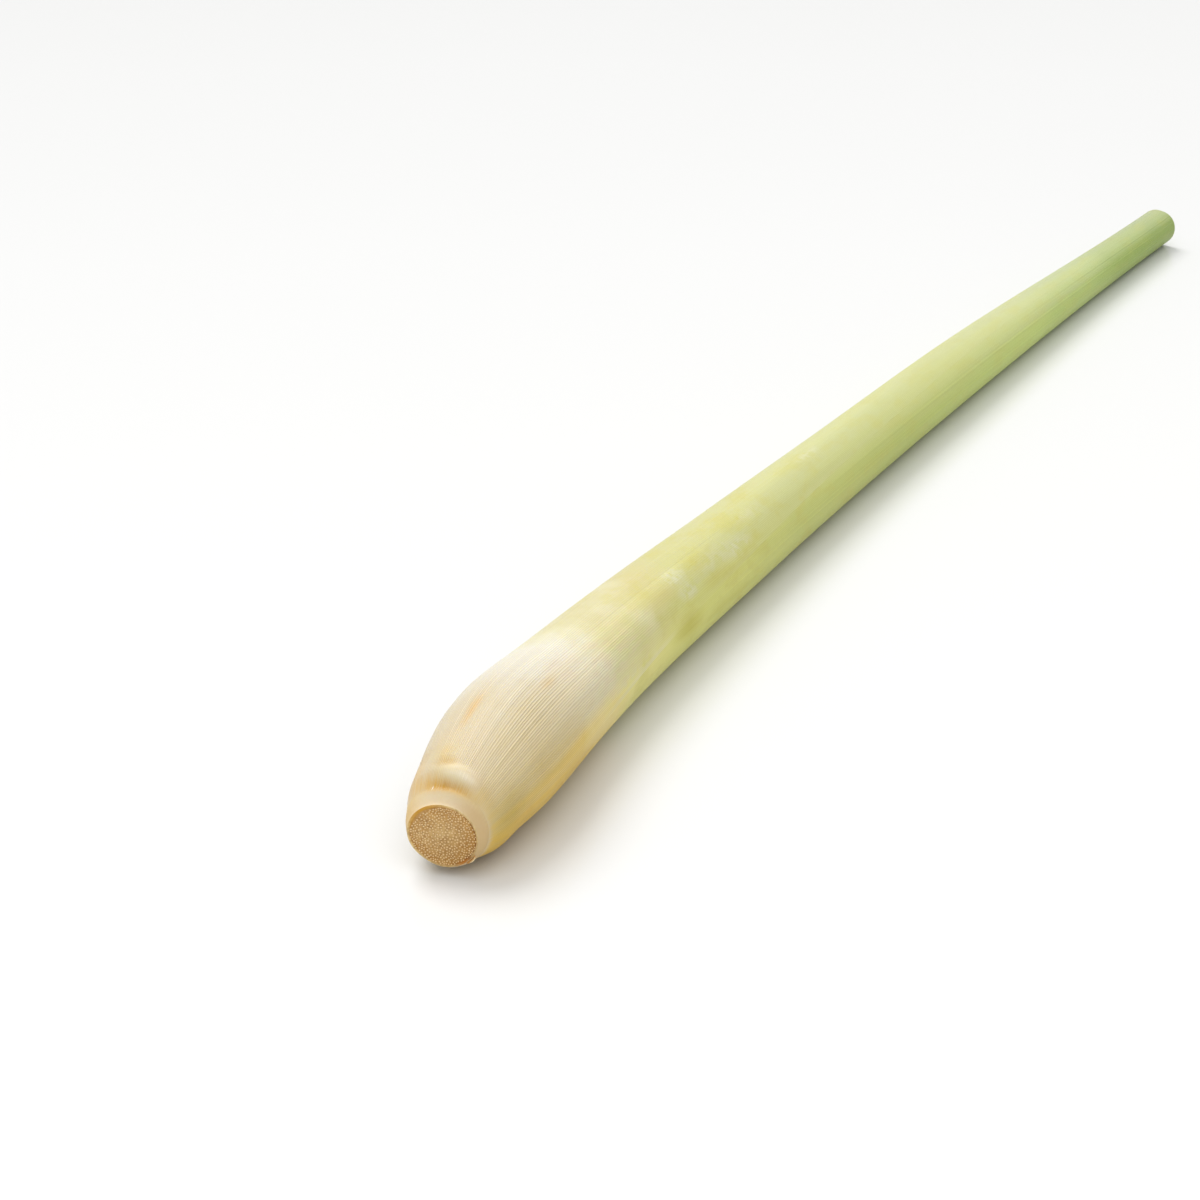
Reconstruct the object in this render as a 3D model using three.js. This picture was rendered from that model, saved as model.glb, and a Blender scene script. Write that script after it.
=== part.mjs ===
// A lemongrass stalk, cut from its root and trimmed at the tip, lying on its side.
// Leaf sheaths wrap one another round a short stem and, past the stem, round a rolled heart leaf.
// Millimetres, +Z up, +X from the root cut to the tip.

import * as THREE from 'three';

// Driving sizes
const LENGTH = 392;
const GAP = 0.3; // clear space between two layers
const MIN_WALL = 0.6; // wall of a sheath at its free margins and towards the tip
const CORE_SHARE = 0.47; // radius inside the fourth sheath over the stalk's radius
const LAYERS_IN_WALL = 4;
const FLAT_SHARE = 0.017; // how deep the underside is pressed flat, over the stalk's radius

// Outer radius along the stalk: [distance from the root cut, radius]
const GIRTH = [
  [0, 6.3], [2, 7.7], [5, 9.2], [10, 10.5], [20, 12.0], [30, 12.75], [45, 12.0],
  [60, 11.4], [100, 10.4], [180, 8.6], [250, 7.7], [LENGTH, 5.3],
];

// The sideways bow of the centre line, and the lift of the root end off the surface
const BOW = 6.5;
const BOW_PEAK = 165; // station of the bow's top
const BOW_ROOT_SPAN = 144; // from the top back to where the line crosses the X axis
const BOW_ROOT_POWER = 2.3;
const HEEL_LIFT = 2.1;
const HEEL_LENGTH = 30;

// The root cut faces a little to the -Y side, and the slant dies out along the stem
const CUT_SIDE_SLOPE = 0.29;
const CUT_UP_SLOPE = 0.03;
const CUT_FADE = 12;

// The free margin of the outer sheath starts low on the -Y side and climbs towards the tip
const MARGIN_ROOT_TURN = 215;
const MARGIN_TIP_TURN = 75;
const MARGIN_CLIMB = 230;

// Where a sheath laps over itself, in degrees round the stalk
const LAP = 35;
const LAP_RISE = 70; // from the end of the lap back to full radius
const THINNING_START = -45; // the wall thins before it passes over the inner margin
const THINNING_END = -8;

// Folds of the skin above the root cut: place along and round the stalk, reach each way, height
const PINCH_GROOVE = { at: 3.0, reach: 1.6, turn: 85, spread: 60, height: -0.35 };
const PINCH_RIDGE = { at: 4.9, reach: 1.6, turn: 97, spread: 38, height: 0.45 };
const HEEL_SWELL = { at: 8.0, reach: 7.0, turn: 226, spread: 50, height: 0.6 };
const FOLDS = [PINCH_GROOVE, PINCH_RIDGE, HEEL_SWELL];

// Rings of vertices shared by all layers, closer together where the outline turns
const STATIONS = [
  3.1, 3.9, 4.8, 5.8, 7.4, 9.6, 12.5, 16, 20.5, 26, 33, 42, 54, 70,
  92, 118, 150, 188, 232, 282, 336,
];

// Layers from the outside in: where each one grows from the stem and ends, the turn of its
// seam from the outer margin, its sides round the stalk, and whether its margins lap
const SHEATHS = [
  { name: 'outer_sheath', start: 2.4, trim: 0, turn: 0, sides: 40, laps: true, colour: '#d9cf94' },
  { name: 'second_sheath', start: 6.2, trim: 0.5, turn: 180, sides: 28, laps: true, colour: '#e4dca8' },
  { name: 'third_sheath', start: 11.7, trim: 0.2, turn: 60, sides: 22, laps: false, colour: '#e8dcb4' },
  { name: 'fourth_sheath', start: 17.7, trim: 0.8, turn: 240, sides: 18, laps: false, colour: '#ecdfae' },
];

// The stem fills the bulb and ends in a rounded growing point, where the heart leaf begins
const STEM_SIDES = 28;
const STEM_DOME_START = 58;
const STEM_END = 74;
const STEM_TIP_SHARE = 0.3; // radius of the blunt tip over the radius of the core
const STEM_DOME_RINGS = 4;
const STEM_COLOUR = '#c9a76f';
const HEART_START = STEM_END + GAP;
const HEART_TRIM = 0.5;
const HEART_SIDES = 12;
const HEART_COLOUR = '#cfd58c';

const { smoothstep, lerp, euclideanModulo, degToRad } = THREE.MathUtils;

const girthCurve = new THREE.CubicInterpolant(
  GIRTH.map(([station]) => station),
  GIRTH.map(([, radius]) => radius),
  1,
);

function girthAt(station) {
  return girthCurve.evaluate(station)[0];
}

// A smooth hump of one unit, zero beyond its reach
function hump(distance, reach) {
  return 1 - smoothstep(Math.abs(distance), 0, reach);
}

// The smallest turn from one direction to another, from -180 to 180
function turnBetween(from, to) {
  return euclideanModulo(to - from + 180, 360) - 180;
}

function skinRadius(turn, station) {
  let radius = girthAt(station);
  for (const fold of FOLDS) {
    const along = hump(station - fold.at, fold.reach);
    const round = hump(turnBetween(fold.turn, turn), fold.spread);
    radius += fold.height * along * round;
  }
  return radius;
}

function centreLine(station) {
  const rootSide = station < BOW_PEAK;
  const span = rootSide ? BOW_ROOT_SPAN : LENGTH - BOW_PEAK;
  const power = rootSide ? BOW_ROOT_POWER : 2;
  const share = Math.abs(station - BOW_PEAK) / span;
  const heel = Math.max(0, 1 - station / HEEL_LENGTH);
  return {
    y: BOW * (1 - share ** power),
    z: girthAt(station) * (1 - FLAT_SHARE) + HEEL_LIFT * heel * heel,
  };
}

function wallAt(station) {
  const wall = (girthAt(station) * (1 - CORE_SHARE)) / LAYERS_IN_WALL - GAP;
  return Math.max(MIN_WALL, wall);
}

// The turn at which a layer's outer margin lies, or its seam
function seamTurn(layer, station) {
  const climb = Math.exp(-station / MARGIN_CLIMB);
  return lerp(MARGIN_TIP_TURN, MARGIN_ROOT_TURN, climb) + layer.turn;
}

// For a lapped layer, measured from its hidden inner margin: 1 in the lap, 0 well away from it
function lapShare(fromInner) {
  if (fromInner < 0) {
    return smoothstep(fromInner, THINNING_START, THINNING_END);
  }
  return 1 - smoothstep(fromInner, LAP, LAP + LAP_RISE);
}

// How far the next layer in lies below this layer's own boundary
function layerDepth(layer, turn, station) {
  const single = wallAt(station) + GAP;
  if (!layer.laps) {
    return single;
  }
  const double = 2 * (MIN_WALL + GAP);
  const fromInner = turnBetween(seamTurn(layer, station) - LAP, turn);
  return lerp(single, double, lapShare(fromInner));
}

// Radius of the space that the first layers, counted from outside, leave inside them
function spaceInside(layerCount, turn, station) {
  let radius = skinRadius(turn, station);
  for (const layer of SHEATHS.slice(0, layerCount)) {
    radius -= layerDepth(layer, turn, station);
  }
  return radius;
}

// A point of the bent stalk from its station, its turn round the centre line and its radius
function stalkPoint(station, turn, radius) {
  const centre = centreLine(station);
  const side = radius * Math.cos(degToRad(turn));
  const up = radius * Math.sin(degToRad(turn));
  const fade = Math.max(0, 1 - station / CUT_FADE) ** 2;
  const slant = (CUT_UP_SLOPE * up - CUT_SIDE_SLOPE * side) * fade;
  return new THREE.Vector3(station + slant, centre.y + side, Math.max(0, centre.z + up));
}

// Moves every vertex of a unit geometry to its place on the stalk
function bend(geometry, place) {
  const position = geometry.getAttribute('position');
  const unit = new THREE.Vector3();
  for (let i = 0; i < position.count; i += 1) {
    unit.fromBufferAttribute(position, i);
    const point = place(unit);
    position.setXYZ(i, point.x, point.y, point.z);
  }
  geometry.computeVertexNormals();
  return geometry;
}

function stationsBetween(start, end) {
  const inner = STATIONS.filter((station) => station > start + GAP && station < end - GAP);
  return [start, ...inner, end];
}

// A leaf sheath: a thin plate, wound once round the stalk from its inner to its outer margin
function sheathGeometry(layer, index) {
  const stations = stationsBetween(layer.start, LENGTH - layer.trim);
  const rows = stations.length - 1;
  const plate = new THREE.BoxGeometry(1, 1, 1, layer.sides, rows, 1);
  return bend(plate, (unit) => {
    const share = unit.x + 0.5;
    const station = stations[Math.round((unit.y + 0.5) * rows)];
    const outside = unit.z > 0;
    const seam = seamTurn(layer, station);
    if (layer.laps) {
      return lappedPoint(layer, index, station, seam, share, outside);
    }
    return buttedPoint(layer, index, station, seam, share, outside);
  });
}

function lappedPoint(layer, index, station, seam, share, outside) {
  const wound = share * (360 + LAP);
  const turn = seam - LAP + wound;
  const underneath = wound < 180;
  const lap = wound > 360 ? 1 : lapShare(underneath ? wound : wound - 360);
  const inset = underneath ? (MIN_WALL + GAP) * lap : 0;
  const wall = lerp(wallAt(station), MIN_WALL, lap);
  const radius = spaceInside(index, turn, station) - inset - (outside ? 0 : wall);
  return stalkPoint(station, turn, radius);
}

function buttedPoint(layer, index, station, seam, share, outside) {
  const room = spaceInside(index, seam, station) - wallAt(station);
  const seamWidth = THREE.MathUtils.radToDeg(GAP / room);
  const turn = seam + lerp(seamWidth / 2, 360 - seamWidth / 2, share);
  const radius = spaceInside(index, turn, station) - (outside ? 0 : wallAt(station));
  return stalkPoint(station, turn, radius);
}

// A solid of rings along the stalk; each ring gives its station and how its radius is found
function ringedSolid(rings, sides) {
  const rows = rings.length - 1;
  const rod = new THREE.CylinderGeometry(1, 1, 1, sides, rows);
  return bend(rod, (unit) => {
    const ring = rings[Math.round((unit.y + 0.5) * rows)];
    const turn = THREE.MathUtils.radToDeg(Math.atan2(unit.x, unit.z));
    const onRim = Math.hypot(unit.x, unit.z);
    const radius = spaceInside(ring.layers, turn, ring.station) * ring.share * onRim;
    return stalkPoint(ring.station, turn, radius);
  });
}

// The stem steps in by one layer where each sheath grows from it, and ends in a dome
function stemRings() {
  const rings = [{ station: 0, layers: 0, share: 1 }];
  rings.push({ station: 1, layers: 0, share: 1 });
  SHEATHS.forEach((layer, index) => {
    const shoulder = layer.start - GAP;
    rings.push({ station: shoulder, layers: index, share: 1 });
    rings.push({ station: shoulder, layers: index + 1, share: 1 });
    const next = SHEATHS[index + 1];
    const end = next ? next.start - GAP : STEM_DOME_START;
    for (const station of STATIONS.filter((value) => value > shoulder + 1 && value < end - 1)) {
      rings.push({ station, layers: index + 1, share: 1 });
    }
  });
  const domeShare = Math.sqrt(1 - STEM_TIP_SHARE ** 2);
  for (let i = 0; i <= STEM_DOME_RINGS; i += 1) {
    const along = i / STEM_DOME_RINGS;
    const share = Math.sqrt(1 - (along * domeShare) ** 2);
    rings.push({ station: lerp(STEM_DOME_START, STEM_END, along), layers: LAYERS_IN_WALL, share });
  }
  return rings;
}

function heartRings() {
  return stationsBetween(HEART_START, LENGTH - HEART_TRIM).map((station) => (
    { station, layers: LAYERS_IN_WALL, share: 1 }
  ));
}

function namedMesh(name, geometry, colour) {
  const material = new THREE.MeshStandardMaterial({ color: colour, roughness: 0.45, metalness: 0 });
  const mesh = new THREE.Mesh(geometry, material);
  mesh.name = name;
  return mesh;
}

const stalk = new THREE.Group();
stalk.add(namedMesh('stem', ringedSolid(stemRings(), STEM_SIDES), STEM_COLOUR));
SHEATHS.forEach((layer, index) => {
  stalk.add(namedMesh(layer.name, sheathGeometry(layer, index), layer.colour));
});
stalk.add(namedMesh('heart_leaf', ringedSolid(heartRings(), HEART_SIDES), HEART_COLOUR));

// The origin is the middle of the underside
const bounds = new THREE.Box3().setFromObject(stalk);
const middle = bounds.getCenter(new THREE.Vector3());
stalk.position.set(-middle.x, -middle.y, -bounds.min.z);

export default stalk;
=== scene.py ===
import math

import bpy
import numpy as np
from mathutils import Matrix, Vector


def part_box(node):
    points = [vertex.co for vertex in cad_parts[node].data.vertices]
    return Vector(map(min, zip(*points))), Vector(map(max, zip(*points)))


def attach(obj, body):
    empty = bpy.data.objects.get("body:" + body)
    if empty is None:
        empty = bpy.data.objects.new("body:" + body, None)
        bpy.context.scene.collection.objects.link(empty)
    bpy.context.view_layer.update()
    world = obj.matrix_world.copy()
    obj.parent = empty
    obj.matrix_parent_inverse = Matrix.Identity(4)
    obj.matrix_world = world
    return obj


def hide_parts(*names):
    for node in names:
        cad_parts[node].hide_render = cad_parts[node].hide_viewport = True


bl_info = {
    "name": "Lemongrass stalk",
    "version": (1, 0, 0),
    "blender": (4, 5, 0),
    "location": "3D View > Sidebar > Lemongrass",
    "description": "Dresses a cut lemongrass stalk: veined leaf sheaths, root cut and rolled heart leaf",
    "category": "Object",
}

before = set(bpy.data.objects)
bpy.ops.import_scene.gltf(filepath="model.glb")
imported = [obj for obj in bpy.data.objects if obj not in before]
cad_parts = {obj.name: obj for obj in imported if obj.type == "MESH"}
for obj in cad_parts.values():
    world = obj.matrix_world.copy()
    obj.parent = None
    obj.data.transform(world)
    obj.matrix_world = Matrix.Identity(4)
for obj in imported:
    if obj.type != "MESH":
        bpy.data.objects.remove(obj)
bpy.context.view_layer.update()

# All sizes are in millimetres and degrees until a point is placed, and then in metres
MM = 0.001

# The stalk's outline, a little fuller at the bulb than the solids: [distance from the cut, radius]
LENGTH = 392.0
GIRTH = np.array([
    [0, 6.5], [2, 7.75], [5, 9.2], [10, 10.6], [15, 11.65], [20, 12.4], [25, 12.8], [30, 12.9],
    [37, 12.65], [45, 12.2], [60, 11.55], [100, 10.4], [180, 8.6], [250, 7.7], [LENGTH, 5.3],
])
BOW = 6.5
BOW_PEAK = 165.0
BOW_ROOT_SPAN = 144.0
BOW_ROOT_POWER = 2.3
NECK_SHIFT = 0.8
NECK_PLACE = 68.0
NECK_REACH = 60.0
HEEL_LIFT = 2.1
HEEL_LENGTH = 30.0
FLAT_SHARE = 0.017
CUT_SIDE_SLOPE = 0.29
CUT_UP_SLOPE = 0.03
CUT_FADE = 12.0

# The solids' origin is the middle of their box. The tip and this shift bring the stalk there
TIP_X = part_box("outer_sheath")[1].x / MM
AXIS_Y = -1.94

# Layers, as in the solids
CORE_SHARE = 0.47
LAYERS_IN_WALL = 4
SOLID_GAP = 0.3
SOLID_MIN_WALL = 0.6
MARGIN_ROOT_TURN = 215.0
MARGIN_TIP_TURN = 75.0
MARGIN_CLIMB = 230.0
LAP = 35.0
LAP_RISE = 70.0
THINNING_START = -45.0
THINNING_END = -8.0
SHOULDERS = [2.1, 5.9, 11.4, 17.4]
STEM_DOME_START = 58.0
STEM_END = 74.0

# Here the layers lie closer than in the solids, and their free margins are as thin as real skin
HAIR_GAP = 0.02
LAP_WALL = 0.13
SKIN_EDGE = 0.02
EDGE_TAPER = 24.0
EDGE_PRESS = 0.017
RIB_HEIGHT = 0.02

# Folds of the skin above the root cut: place, reach, turn, spread, height
FOLDS = [
    (3.0, 1.6, 85, 60, -0.35),
    (4.9, 1.6, 97, 38, 0.45),
    (8.0, 7.0, 226, 50, 0.6),
]
# Finer folds that only show close by
CREASES = [
    (2.5, 1.0, 92, 46, -0.32),
    (4.4, 1.1, 106, 34, 0.1),
    (8.2, 2.4, 42, 22, -0.3),
    (6.1, 1.0, 78, 22, -0.16),
    (7.6, 1.4, 68, 24, 0.16),
    (0.4, 2.6, 305, 48, -0.32),
    (4.0, 3.0, 30, 32, 0.2),
    (3.6, 1.5, 330, 34, -0.25),
    (5.4, 1.5, 318, 30, 0.22),
    (48.0, 26.0, 128, 15, -0.12),
    (85.0, 40.0, 106, 13, -0.1),
    (150.0, 70.0, 140, 16, -0.12),
    (120.0, 50.0, 20, 18, -0.14),
    (60.0, 35.0, 320, 16, -0.14),
]

# Places of the camera and of what it looks at, from the photograph's outline
CAMERA_PLACE = (-522.7, -224.8, 257.5)
CAMERA_AIM = (-105.8, 14.5, 11.4)
CAMERA_LENS = 78.0

STALK_PLACE = "stalk_place"

# Relief of the root cut: its hollow, the waves left by the knife, and the notch in its rim
CUT_HOLLOW = 0.16
KNIFE_WAVE = 0.035
NOTCH_TURN = 222
NOTCH_SPREAD = 16
NOTCH_DEPTH = 0.5
# How far the collar swells out, and how far the rim of the cut is rounded in
COLLAR_SWELL = 0.22
RIM_ROUNDING = 0.12

# The rolled heart leaf: turns of the scroll, its open core and wall as shares, its place and play
HEART_TURNS = 2.3
HEART_CORE = 0.2
HEART_WALL = 0.88
HEART_START_TURN = 120
HEART_TRIM = 0.3
HEART_PLAY = 0.03
HEART_LEAST_RADIUS = 0.04


def srgb(code):
    """Linear colour of a hex value."""
    parts = [int(code[i:i + 2], 16) / 255 for i in (1, 3, 5)]
    return tuple(c / 12.92 if c <= 0.04045 else ((c + 0.055) / 1.055) ** 2.4 for c in parts)


def smoothstep(value, start, end):
    share = np.clip((value - start) / (end - start), 0, 1)
    return share * share * (3 - 2 * share)


def hump(distance, reach):
    return 1 - smoothstep(np.abs(distance), 0, reach)


def turn_between(start, end):
    return (end - start + 180) % 360 - 180


def girth_at(station):
    """Radius by a cubic through the outline's points, level at both ends."""
    places, radii = GIRTH.T
    slopes = np.diff(radii) / np.diff(places)
    tangents = np.concatenate([[0], (slopes[1:] + slopes[:-1]) / 2, [0]])
    span = np.clip(np.searchsorted(places, station, side="right") - 1, 0, len(places) - 2)
    width = places[span + 1] - places[span]
    p = np.clip((station - places[span]) / width, 0, 1)
    start = radii[span] * (1 + 2 * p) * (1 - p) ** 2 + tangents[span] * width * p * (1 - p) ** 2
    end = radii[span + 1] * p * p * (3 - 2 * p) + tangents[span + 1] * width * p * p * (p - 1)
    return start + end


def flutes(turn, station):
    """Soft hollows and swellings that run lengthwise, in millimetres."""
    angle = np.radians(turn)
    along = station / LENGTH
    swell = smoothstep(station, 2, 14) * (1 - 0.6 * along)
    return swell * (0.1 * np.cos(3 * angle + 5 * along) + 0.07 * np.cos(5 * angle - 7 * along + 2))


def skin_radius(turn, station):
    radius = girth_at(station)
    for at, reach, middle, spread, height in FOLDS + CREASES:
        along = hump(station - at, reach)
        radius = radius + height * along * hump(turn_between(middle, turn), spread)
    return radius + flutes(turn, station)


def centre_line(station):
    on_root_side = station < BOW_PEAK
    span = np.where(on_root_side, BOW_ROOT_SPAN, LENGTH - BOW_PEAK)
    power = np.where(on_root_side, BOW_ROOT_POWER, 2.0)
    heel = np.clip(1 - station / HEEL_LENGTH, 0, None)
    side = BOW * (1 - (np.abs(station - BOW_PEAK) / span) ** power)
    side = side + NECK_SHIFT * hump(station - NECK_PLACE, NECK_REACH)
    return side, girth_at(station) * (1 - FLAT_SHARE) + HEEL_LIFT * heel ** 2


def on_stalk(station, turn, radius):
    """Points of the bent stalk, in metres, from station, turn round the centre line and radius."""
    middle, height = centre_line(station)
    side = radius * np.cos(np.radians(turn))
    up = radius * np.sin(np.radians(turn))
    fade = np.clip(1 - station / CUT_FADE, 0, None) ** 2
    slant = (CUT_UP_SLOPE * up - CUT_SIDE_SLOPE * side) * fade
    x = station + slant + TIP_X - LENGTH
    y = middle + side + AXIS_Y
    z = np.clip(height + up, 0, None)
    return np.stack([x, y, z], axis=-1) * MM


def wall_at(station):
    """Wall of a sheath. With the hair gap it fills the room that its solid and the gap have."""
    wall = girth_at(station) * (1 - CORE_SHARE) / LAYERS_IN_WALL - SOLID_GAP
    return np.maximum(SOLID_MIN_WALL, wall) + SOLID_GAP - HAIR_GAP


def margin_turn(station, offset=0.0):
    climb = np.exp(-station / MARGIN_CLIMB)
    return MARGIN_TIP_TURN + (MARGIN_ROOT_TURN - MARGIN_TIP_TURN) * climb + offset


def lap_share(from_inner):
    before = smoothstep(from_inner, THINNING_START, THINNING_END)
    after = 1 - smoothstep(from_inner, LAP, LAP + LAP_RISE)
    return np.where(from_inner < 0, before, after)


def layer_depth(layer, turn, station):
    single = wall_at(station) + HAIR_GAP
    if not layer["laps"]:
        return single
    double = 2 * (LAP_WALL + HAIR_GAP)
    from_inner = turn_between(margin_turn(station, layer["turn"]) - LAP, turn)
    return single + (double - single) * lap_share(from_inner)


def space_inside(count, turn, station):
    radius = skin_radius(turn, station)
    for layer in LEAVES[:count]:
        radius = radius - layer_depth(layer, turn, station)
    return radius


# Leaf sheaths from the outside in. The cells of each mesh run across its width and along it
LEAVES = [
    dict(name="outer_leaf", node="outer_sheath", start=2.1, trim=0.0, turn=0, laps=True,
         cells=(330, 118)),
    dict(name="second_leaf", node="second_sheath", start=5.95, trim=0.35, turn=180, laps=True,
         cells=(170, 60)),
    dict(name="third_leaf", node="third_sheath", start=11.5, trim=0.1, turn=60, laps=False,
         cells=(130, 50)),
    dict(name="fourth_leaf", node="fourth_sheath", start=17.5, trim=0.5, turn=240, laps=False,
         cells=(110, 50)),
]
LEAF_CROWDING = 1.9


def begin():
    if bpy.context.object and bpy.context.object.mode != "OBJECT":
        bpy.ops.object.mode_set(mode="OBJECT")
    bpy.ops.object.select_all(action="DESELECT")


def finish_piece(name, material, node=None):
    """Names the piece just made, gives it its material, and ties it to the frame."""
    piece = bpy.context.object
    piece.name = name
    piece.data.name = name
    piece.data.materials.append(material)
    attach(piece, "root")
    if node:
        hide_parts(node)
    return piece


def vertex_places(piece):
    flat = np.empty(len(piece.data.vertices) * 3)
    piece.data.vertices.foreach_get("co", flat)
    return flat.reshape(-1, 3)


def whole_numbers(elements, name):
    values = np.empty(len(elements), dtype=np.int32)
    elements.foreach_get(name, values)
    return values


def bend(piece, station, turn, radius, third):
    """Puts each vertex on the stalk and keeps its turn, station and a third value with it."""
    mesh = piece.data
    mesh.vertices.foreach_set("co", on_stalk(station, turn, radius).ravel())
    corners = whole_numbers(mesh.loops, "vertex_index")
    starts = whole_numbers(mesh.polygons, "loop_start")
    sizes = whole_numbers(mesh.polygons, "loop_total")
    # Within a face the turn never jumps from half a turn to minus half a turn
    first = turn[corners[np.repeat(starts, sizes)]]
    near = first + turn_between(first, turn[corners])
    values = np.stack([near / 360, station[corners] * MM, (third + 0 * station)[corners]], axis=-1)
    kept = mesh.attributes.new(STALK_PLACE, "FLOAT_VECTOR", "CORNER")
    kept.data.foreach_set("vector", values.ravel())
    mesh.update()


def face_outwards():
    bpy.ops.object.mode_set(mode="EDIT")
    bpy.ops.mesh.select_all(action="SELECT")
    bpy.ops.mesh.normals_make_consistent(inside=False)
    bpy.ops.object.mode_set(mode="OBJECT")


def flat_plate(across, along):
    """A plate of one unit: a grid drawn out to a thickness, its cells across X and along Y."""
    begin()
    bpy.ops.mesh.primitive_grid_add(x_subdivisions=across, y_subdivisions=along, size=1)
    bpy.ops.object.mode_set(mode="EDIT")
    bpy.ops.mesh.select_all(action="SELECT")
    bpy.ops.mesh.extrude_region_move(TRANSFORM_OT_translate={"value": (0, 0, 1)})
    bpy.ops.object.mode_set(mode="OBJECT")
    return bpy.context.object


def low_ribs(turn, station):
    """Low ribs that run lengthwise on the skin, in millimetres."""
    angle = np.radians(turn)
    ribs = np.cos(61 * angle) + 0.7 * np.cos(44 * angle + 1.3) + 0.6 * np.cos(29 * angle + 4.0)
    return RIB_HEIGHT * ribs * smoothstep(station, 2, 14)


def wound_leaf(layer, index):
    """A sheath wound once round the stalk, its margins lapped or meeting edge to edge."""
    piece = flat_plate(*layer["cells"])
    unit = vertex_places(piece)
    share = unit[:, 0] + 0.5
    along = (unit[:, 1] + 0.5) ** LEAF_CROWDING
    outside = unit[:, 2] > 0.5
    station = layer["start"] + (LENGTH - layer["trim"] - layer["start"]) * along
    seam = margin_turn(station, layer["turn"])
    wall = wall_at(station)
    if layer["laps"]:
        wound = share * (360 + LAP)
        turn = seam - LAP + wound
        underneath = wound < 180
        lap = np.where(wound > 360, 1.0, lap_share(np.where(underneath, wound, wound - 360)))
        outer = space_inside(index, turn, station) - (LAP_WALL + HAIR_GAP) * lap * underneath
        wall = wall + (LAP_WALL - wall) * lap
        to_edge = np.minimum(wound, 360 + LAP - wound)
        thinned = (LAP_WALL - SKIN_EDGE) * (1 - smoothstep(to_edge, 0, EDGE_TAPER))
        pressed = EDGE_PRESS * (1 - smoothstep(to_edge, 0, EDGE_TAPER))
        inner = outer - wall + thinned * underneath - pressed * ~underneath
        outer = outer - (thinned + pressed) * ~underneath
        from_margin = (360 + LAP - wound) / 360 * 2 * np.pi * girth_at(station)
    else:
        room = space_inside(index, seam, station) - wall
        seam_width = np.degrees(HAIR_GAP / room)
        turn = seam + seam_width / 2 + (360 - seam_width) * share
        outer = space_inside(index, turn, station)
        inner = outer - wall
        from_margin = np.full_like(station, 50.0)
    if index == 0:
        outer = outer + low_ribs(turn, station) * smoothstep(outer - inner, LAP_WALL, 3 * LAP_WALL)
    bend(piece, station, turn, np.where(outside, outer, inner), from_margin)
    face_outwards()
    bpy.ops.object.shade_smooth_by_angle(angle=math.radians(50))
    return piece


def drawn_rod(sides, stations):
    """A round rod of one unit's radius along X, drawn out ring by ring."""
    begin()
    bpy.ops.mesh.primitive_circle_add(
        vertices=sides, radius=1, fill_type="NGON",
        location=(stations[0], 0, 0), rotation=(0, math.radians(90), 0))
    bpy.ops.object.transform_apply(location=True, rotation=True)
    bpy.ops.object.mode_set(mode="EDIT")
    bpy.ops.mesh.select_all(action="SELECT")
    for start, end in zip(stations, stations[1:]):
        step = (end - start, 0, 0)
        bpy.ops.mesh.extrude_region_move(TRANSFORM_OT_translate={"value": step})
    bpy.ops.object.mode_set(mode="OBJECT")
    return bpy.context.object


def inset_end(piece, place, insets):
    """Draws rings inwards on the end face at a place along X, each a little smaller."""
    bpy.ops.object.mode_set(mode="EDIT")
    bpy.ops.mesh.select_mode(type="FACE")
    bpy.ops.mesh.select_all(action="DESELECT")
    bpy.ops.object.mode_set(mode="OBJECT")
    for face in piece.data.polygons:
        face.select = abs(face.center.x - place) < 1e-6
    bpy.ops.object.mode_set(mode="EDIT")
    for amount in insets:
        bpy.ops.mesh.inset(thickness=amount, depth=0, use_boundary=True)
    bpy.ops.mesh.poke()
    bpy.ops.object.mode_set(mode="OBJECT")


STEM_STATIONS = [0.0, 0.12, 0.3, 0.6, 1.0, 1.4, 1.75, 1.98, 2.1, 2.1001, 3.4, 4.7, 5.9, 5.9001, 8.5,
                 11.4, 11.4001, 14.3, 17.4, 17.4001, 22, 28, 35, 46, 58, 62, 66, 69, 71.5, 73, 74]
RIM_WIDTH = 0.055
DISC_RINGS = [0.02, 0.025, 0.03, 0.05, 0.08, 0.11, 0.13, 0.14, 0.13, 0.12]


def stem_radius(turn, station):
    radius = skin_radius(turn, station)
    for index, shoulder in enumerate(SHOULDERS):
        inside = space_inside(index + 1, turn, station) - HAIR_GAP
        radius = np.where(station > shoulder + 1e-5, inside, radius)
    dome = np.clip((station - STEM_DOME_START) / (STEM_END - STEM_DOME_START), 0, 1)
    return radius * np.sqrt(1 - 0.91 * dome ** 2)


def cut_hollow(share):
    """Depth of the root cut's shallow hollow, by its share of the radius."""
    return CUT_HOLLOW * smoothstep(share, 0.97, 0.8)


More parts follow.
